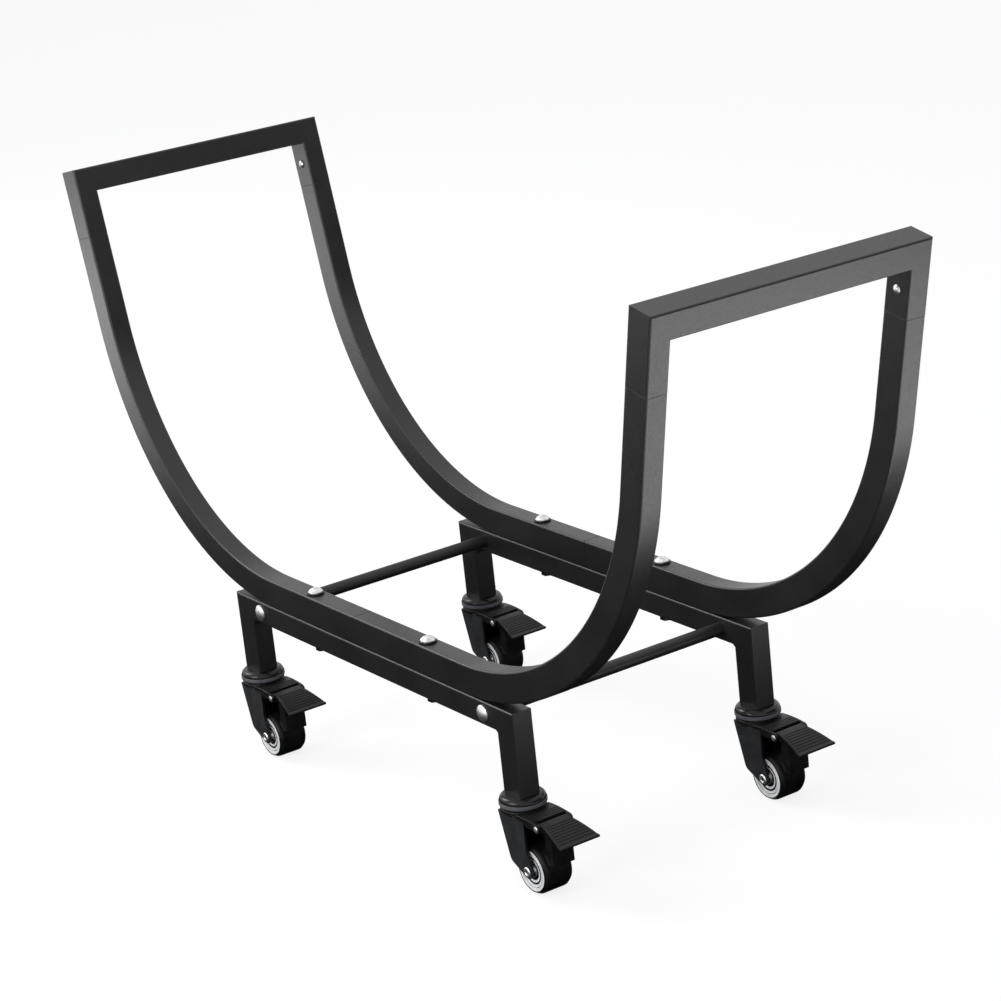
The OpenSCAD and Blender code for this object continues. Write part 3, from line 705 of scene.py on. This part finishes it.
def disc():
    return turned([(5.1, DISC_LOW), (22.7, DISC_LOW), (23.5, 79.7), (23.5, 82.9),
                   (22.9, 83.7), (22.3, DISC_TOP), (5.1, DISC_TOP), (5.1, DISC_LOW)])


def crown():
    return turned([(5.1, 70), (16.4, 70), (17.7, 71.3), (17.7, 79.5), (5.1, 79.5),
                   (5.1, 70)], 64)


for name in CASTERS:
    fork = joined(disc(), crown(), back_wall(), hood_top(),
                  *[make(side) for make in (blade, hood_wall) for side in (-1, 1)])
    for face in fork.faces:
        on_side = abs(face.normal.y) > 0.9
        if on_side and face.calc_center_median().z / MM < GRAINED_BELOW:
            face.material_index = 1
    piece(f"fork_shell_{name}", at_caster(fork, name), [NYLON, FORK_NYLON],
          f"swivel_{name}", [f"fork_{name}"], sharp=40)

# %% [markdown]
# ### Wheels
# The tyre is moulded round the hub. Its tread is broad and smooth with round shoulders,
# and a fine bead runs round each sidewall. The hub is pale polished plastic: a dished
# outer ring, a narrower one inside it, and a bearing in the middle, with grooves
# between, whose sunken faces are dark with painted shade. A flat disc with a painted
# ring would be quicker, but only real steps catch light as the wheel turns. So all of
# these are turned about the axle, from the outline of one half and its mirror image.

# %% Tyres, hubs and bearings
# Hub faces nearer to the wheel's middle than this are the groove floors, and their dark
# is painted shade
SHADED_GROOVE_FLOOR = 14.9      # what lies nearer to the wheel's middle than this is dark


def mirrored_outline(half_outline):
    """An outline from one face of the wheel to the other, from its half."""
    return half_outline + [(r, -y) for r, y in reversed(half_outline)]


def tyre():
    start = (19.6, 15.6)
    bead = [start, (21.5, 15.9), (21.7, 16.7), (22.0, 16.95), (22.4, 16.8)]
    shoulder = arc(19.6, 11.4, 5.4, 57, 0, 8)
    tread = [(25, 6), (25, 2)]
    return turned(mirrored_outline(bead + shoulder + tread) + [start], 128)


def hub():
    start = (4.3, 11)
    rings = [start, (7.5, 11), (7.5, 13.2), (9.6, 13.2), (10.2, 14.8), (11.6, 15.3),
             (12.6, 15.2), (12.9, 13.6), (14.4, 13.6), (14.7, 15.4), (16.9, 15.9),
             (17.3, 15.6), (17.4, 14.6), (18.0, 14.6), (18.2, 16.2), (20.9, 16.75),
             (21.35, 16.6), (21.4, 16.0), (19.6, 15.6)]
    return turned(mirrored_outline(rings) + [start], 128)


def bearing(side):
    ring = [(4.1, 11.2), (7.3, 11.2), (7.3, 15.7), (6.9, 16), (6.5, 16), (6.3, 15.5),
            (5.1, 15.5), (4.9, 16), (4.1, 16), (4.1, 11.2)]
    return turned([(r, side * y) for r, y in ring], 64)


# %% [markdown]
# ### Four wheels
# Tyre, hub and bearings stay separate pieces, as they are when a wheel is put together,
# and all ride on the wheel's own body, so they turn with it. The hub's dark grooves
# could be a piece of their own, but a second material on their faces does the same:
# dark nylon as painted shade.

# %% The four wheels
for name in CASTERS:
    wheel = f"wheel_{name}"
    piece(f"tyre_tread_{name}", at_caster(about_pin(tyre()), name), [TREAD], wheel,
          [f"tyre_{name}"])
    rings = about_pin(hub())
    # The groove floors get dark nylon, as painted shade
    for face in rings.faces:
        if abs(face.calc_center_median().y) / MM < SHADED_GROOVE_FLOOR:
            face.material_index = 1
    piece(f"hub_rings_{name}", at_caster(rings, name), [HUB, NYLON], wheel,
          [f"hub_{name}"])
    both = joined(*[about_pin(bearing(side)) for side in (-1, 1)])
    piece(f"bearing_rings_{name}", at_caster(both, name), [ZINC], wheel,
          [f"bearings_{name}"])

# %% [markdown]
# ### Axles and hinge pins
# The axle is a steel rivet, hollow at its ends, where a punch has rolled it over the
# blades. The pedal's pin is a thinner one. A cylinder with a bevelled rim would be
# close, but the hollow is what makes a rivet read as one, so both are turned from an
# outline that dips in at the end.


# %% Rivets
def axle():
    end = [(0, 19.7), (2, 19.7), (2.1, 22.1), (2.9, 22.8), (4.6, 22.7), (5.5, 21.9),
           (5.4, 21.4), (4, 21.3)]
    return about_pin(turned(mirrored_outline(end), 40))


def hinge_pin():
    end = [(0, 22.3), (1.6, 22.25), (2.7, 22), (3.25, 21.5), (3.2, 21.3), (2, 21.3)]
    return about_pin(turned(mirrored_outline(end), 32), PIVOT_X, PIVOT_Z)


for name in CASTERS:
    for kind, make, node in (("axle_rivet", axle, "axle"),
                             ("hinge_rivet", hinge_pin, "pedal_pin")):
        piece(f"{kind}_{name}", at_caster(make(), name), [ZINC], f"swivel_{name}",
              [f"{node}_{name}"])

# %% [markdown]
# ### Brake pedals
# The pedal carries on from the hood and widens to its tip, and low ribs across it give
# the foot grip. Under it a block reaches down behind the tyre with the brake's rubber.
# A plate could be tapered with scaled loops. Here plate and ribs are made two
# millimetres wide, and then each point is moved out to the width that the pedal has
# there, so the flare is exact and the ribs follow it.

# %% Plate and ribs of a pedal
NARROW_HALF, WIDE_HALF = 17, 24


def flared(bm, inset=0):
    """Moves the points of a plate made from Y = -1 to 1 mm out to the pedal's width."""
    for vert in bm.verts:
        share = max(0, (vert.co.x / MM - PEDAL_X0) / (TIP_X - PEDAL_X0))
        half = NARROW_HALF + (WIDE_HALF - NARROW_HALF) * share
        short = 1 - abs(vert.co.y) / MM
        side = 1 if vert.co.y > 0 else -1
        vert.co.y = side * (half - inset - short) * MM
    return bm


def pedal_plate():
    lip_z = curve_z(90)
    lip = [(91.6, lip_z - 0.2), (93.2, lip_z - 0.5), (TIP_X, lip_z - 1.6),
           (93.6, lip_z - 2.9), (92.4, lip_z - 3.6), (91, lip_z - 3.7)]
    outline = (curve_points(PEDAL_X0, 90, 0, 16) + lip
               + curve_points(PEDAL_X0, 89, 4, 16)[::-1])
    return flared(plate(outline, -1, 1, edge=0.55))


def rib(x):
    """One low half-round rib across the pedal."""
    return flared(plate(rib_outline(x), -1, 1, edge=0.2, segments=1), inset=1.9)


# %% [markdown]
# ### The pedal's underside
# A knuckle wraps the hinge pin between the hood's walls, and a block reaches down behind
# the tyre. Both are plates across the caster's middle. A subdivided block would be
# softer, but these parts come from a mould with plain flat sides.

# %% Knuckle and block, and the four pedals
KNUCKLE_HALF, BLOCK_HALF = 17.3, 13


def knuckle():
    """The pedal's root, round the hinge pin and between the hood's walls."""
    outline = (arc(PIVOT_X, PIVOT_Z, HINGE_R, 80, 280, 14)
               + [(52, 74), (58.5, 74), (58.5, 79.5)]
               + curve_points(PIVOT_X + 1, 56, 0.1, 4)[::-1])
    return plate(outline, -KNUCKLE_HALF, KNUCKLE_HALF, edge=0.4)


def block():
    """The block behind the tyre, with an arc that follows the tyre's."""
    outline = ([(51, 75.5), (62, 78.5), (62, 38)]
               + arc(TRAIL, AXLE_Z, 34.1, 22.4, 45.2, 6))
    return plate(outline, -BLOCK_HALF, BLOCK_HALF, edge=0.5)


for name in CASTERS:
    ribs = [rib(59.3 + RIB_PITCH * i) for i in range(8)]
    pedal = joined(pedal_plate(), knuckle(), block(), *ribs)
    piece(f"pedal_ribbed_{name}", at_caster(pedal, name), [NYLON], f"brake_{name}",
          [f"pedal_{name}"], sharp=40)

# %% [markdown]
# ## The stage
# A product photograph has a white ground with a soft shadow under the object. More
# light would whiten the floor, but it would wash the rack out too. So the floor and the
# backdrop glow for the camera, gloss and glass alone, while every other ray meets plain
# pale paint.


# %% Sheets, and what sees the white
def flat_sheet(name, size_x, size_y, matrix, finish):
    """A flat piece of the stage, which isn't part of the rack."""
    bm = bmesh.new()
    bmesh.ops.create_grid(bm, x_segments=1, y_segments=1, size=0.5)
    bmesh.ops.scale(bm, vec=(size_x, size_y, 1), verts=bm.verts)
    thing = as_object(name, placed(bm, matrix))
    thing.data.materials.append(finish)
    print(name, "measures", size_x, "by", size_y, "m")
    return thing


def seen_share(tree):
    """1 for rays from the camera, from gloss and through glass, and otherwise 0."""
    path = add(tree, "LightPath")
    seen = path.outputs["Is Camera Ray"]
    for kind in ("Is Glossy Ray", "Is Transmission Ray"):
        both = add(tree, "Math", settings={"operation": "MAXIMUM"})
        tree.links.new(seen, both.inputs[0])
        tree.links.new(path.outputs[kind], both.inputs[1])
        seen = both.outputs[0]
    return seen


def seen_or_plain(tree, plain, seen, output):
    """Shows one shader where the white is seen, and the plain one to other rays."""
    mix = add(tree, "MixShader", {"Fac": seen_share(tree)})
    tree.links.new(plain.outputs[0], mix.inputs[1])
    tree.links.new(seen.outputs[0], mix.inputs[2])
    tree.links.new(mix.outputs[0], output.inputs["Surface"])


# %% [markdown]
# ### Floor and backdrop
# The floor is matt paint. For the camera it is a glow with a quarter of dull paint
# mixed in, and that quarter is what still takes the shadow. A picture edited white
# afterwards would look the same, but it would have to be done for every view.


# %% Paint for the floor, and the backdrop
def floor_finish():
    """Pale floor paint: seen as white, with a quarter of it left to take shadows."""
    material, tree, output, place = new_material("pale_floor_paint")
    # A roller leaves stipple about 2.5 mm wide
    stipple = add(tree, "TexNoise", {"Vector": place}, Scale=1 / (2.5 * MM), Detail=2)
    colour = add(tree, "MixRGB", {"Fac": stipple.outputs["Fac"]},
                 Color1=linear("#dcdcdd"), Color2=linear("#e6e6e7"))
    paint = add(tree, "BsdfDiffuse", {"Color": colour.outputs["Color"]})
    shadow_part = add(tree, "BsdfDiffuse", Color=linear("#8a8a8b"))
    glow = add(tree, "Emission", Color=linear("#ffffff"), Strength=0.82)
    white = add(tree, "AddShader")
    tree.links.new(shadow_part.outputs[0], white.inputs[0])
    tree.links.new(glow.outputs[0], white.inputs[1])
    seen_or_plain(tree, paint, white, output)
    return material


def backdrop():
    world = bpy.data.worlds.new("studio")
    bpy.context.scene.world = world
    world.use_nodes = True
    tree = world.node_tree
    tree.nodes.clear()
    plain = add(tree, "Background", Color=linear("#f2f3f5"), Strength=0.55)
    white = add(tree, "Background", Color=linear("#ffffff"), Strength=1.0)
    seen_or_plain(tree, plain, white, add(tree, "OutputWorld"))


flat_sheet("floor", 30, 30, Matrix.Identity(4), floor_finish())
backdrop()

# %% [markdown]
# ### Lamps
# A satin black tube shows little but the lamps that it mirrors, so their size and place
# matter more than their strength. One large lamp stands high on the left, two panels
# lie on the floor and light the outer sides of the arms from below, and a weak one
# fills in from the front. Points or a sun would leave hard, small glints instead.


# %% Soft lamps
def softbox(name, place, aim, width, height, watts):
    """A large rectangular lamp that the camera doesn't see, aimed at a point."""
    light = bpy.data.lights.new(name, "AREA")
    light.shape = "RECTANGLE"
    light.size, light.size_y, light.energy = width, height, watts
    lamp = bpy.data.objects.new(name, light)
    bpy.context.scene.collection.objects.link(lamp)
    lamp.location = place
    aim_way = Vector(aim) - Vector(place)
    lamp.rotation_euler = aim_way.to_track_quat("-Z", "Y").to_euler()
    lamp.visible_camera = False
    print(name, "gives", watts, "W")


softbox("key_left", (-2.6, -1.4, 2.4), (0, 0, 0.35), 1.6, 1.6, 48)
softbox("floor_panel_right", (1.12, 0.42, 0.03), (1.12, 0.42, 1.0), 0.68, 1.0, 6.5)
softbox("floor_panel_left", (-2.28, -1.10, 0.03), (-2.28, -1.10, 1.0), 1.1, 1.1, 12)
softbox("front_fill", (0.3, -3.0, 1.3), (0, 0, 0.2), 1.6, 1.2, 40)

# %% [markdown]
# ### Dark cards
# Near faces of the tubes would mirror the white floor and look grey. A photographer
# lays black felt just outside the picture, so that they mirror that. The same is done
# here with four cards that only the gloss sees: they throw no shadow and take no light
# from the floor.


# %% Four dark cards
def black_felt():
    """Matt black felt: its loose fibres swallow light and give no gloss."""
    material, tree, output, place = new_material("black_felt")
    # Tufts of fibres are drawn about 3 mm wide
    tufts = add(tree, "TexNoise", {"Vector": place}, Scale=1 / (3.3 * MM))
    colour = add(tree, "MixRGB", {"Fac": tufts.outputs["Fac"]},
                 Color1=linear("#040404"), Color2=linear("#0d0d0d"))
    shader = add(tree, "BsdfDiffuse", {"Color": colour.outputs["Color"]})
    finish_with(tree, output, shader)
    return material


FELT = black_felt()


def black_card(name, matrix, width, height):
    card = flat_sheet(name, width, height, matrix, FELT)
    card.visible_camera = card.visible_diffuse = card.visible_shadow = False


black_card("floor_card", Matrix.Translation((-0.30, -1.02, 0.004)), 2.08, 3.14)
black_card("floor_card_left", Matrix.Translation((-1.30, -1.75, 0.005)), 1.0, 1.7)
black_card("floor_card_far", Matrix.Translation((-2.40, -2.60, 0.006)), 1.3, 1.7)
black_card("rear_card", Matrix.Translation((2.2, 1.6, 0.75))
           @ Matrix.Rotation(math.radians(31), 4, "Z")
           @ Matrix.Rotation(math.radians(90), 4, "Y"), 1.5, 3.0)
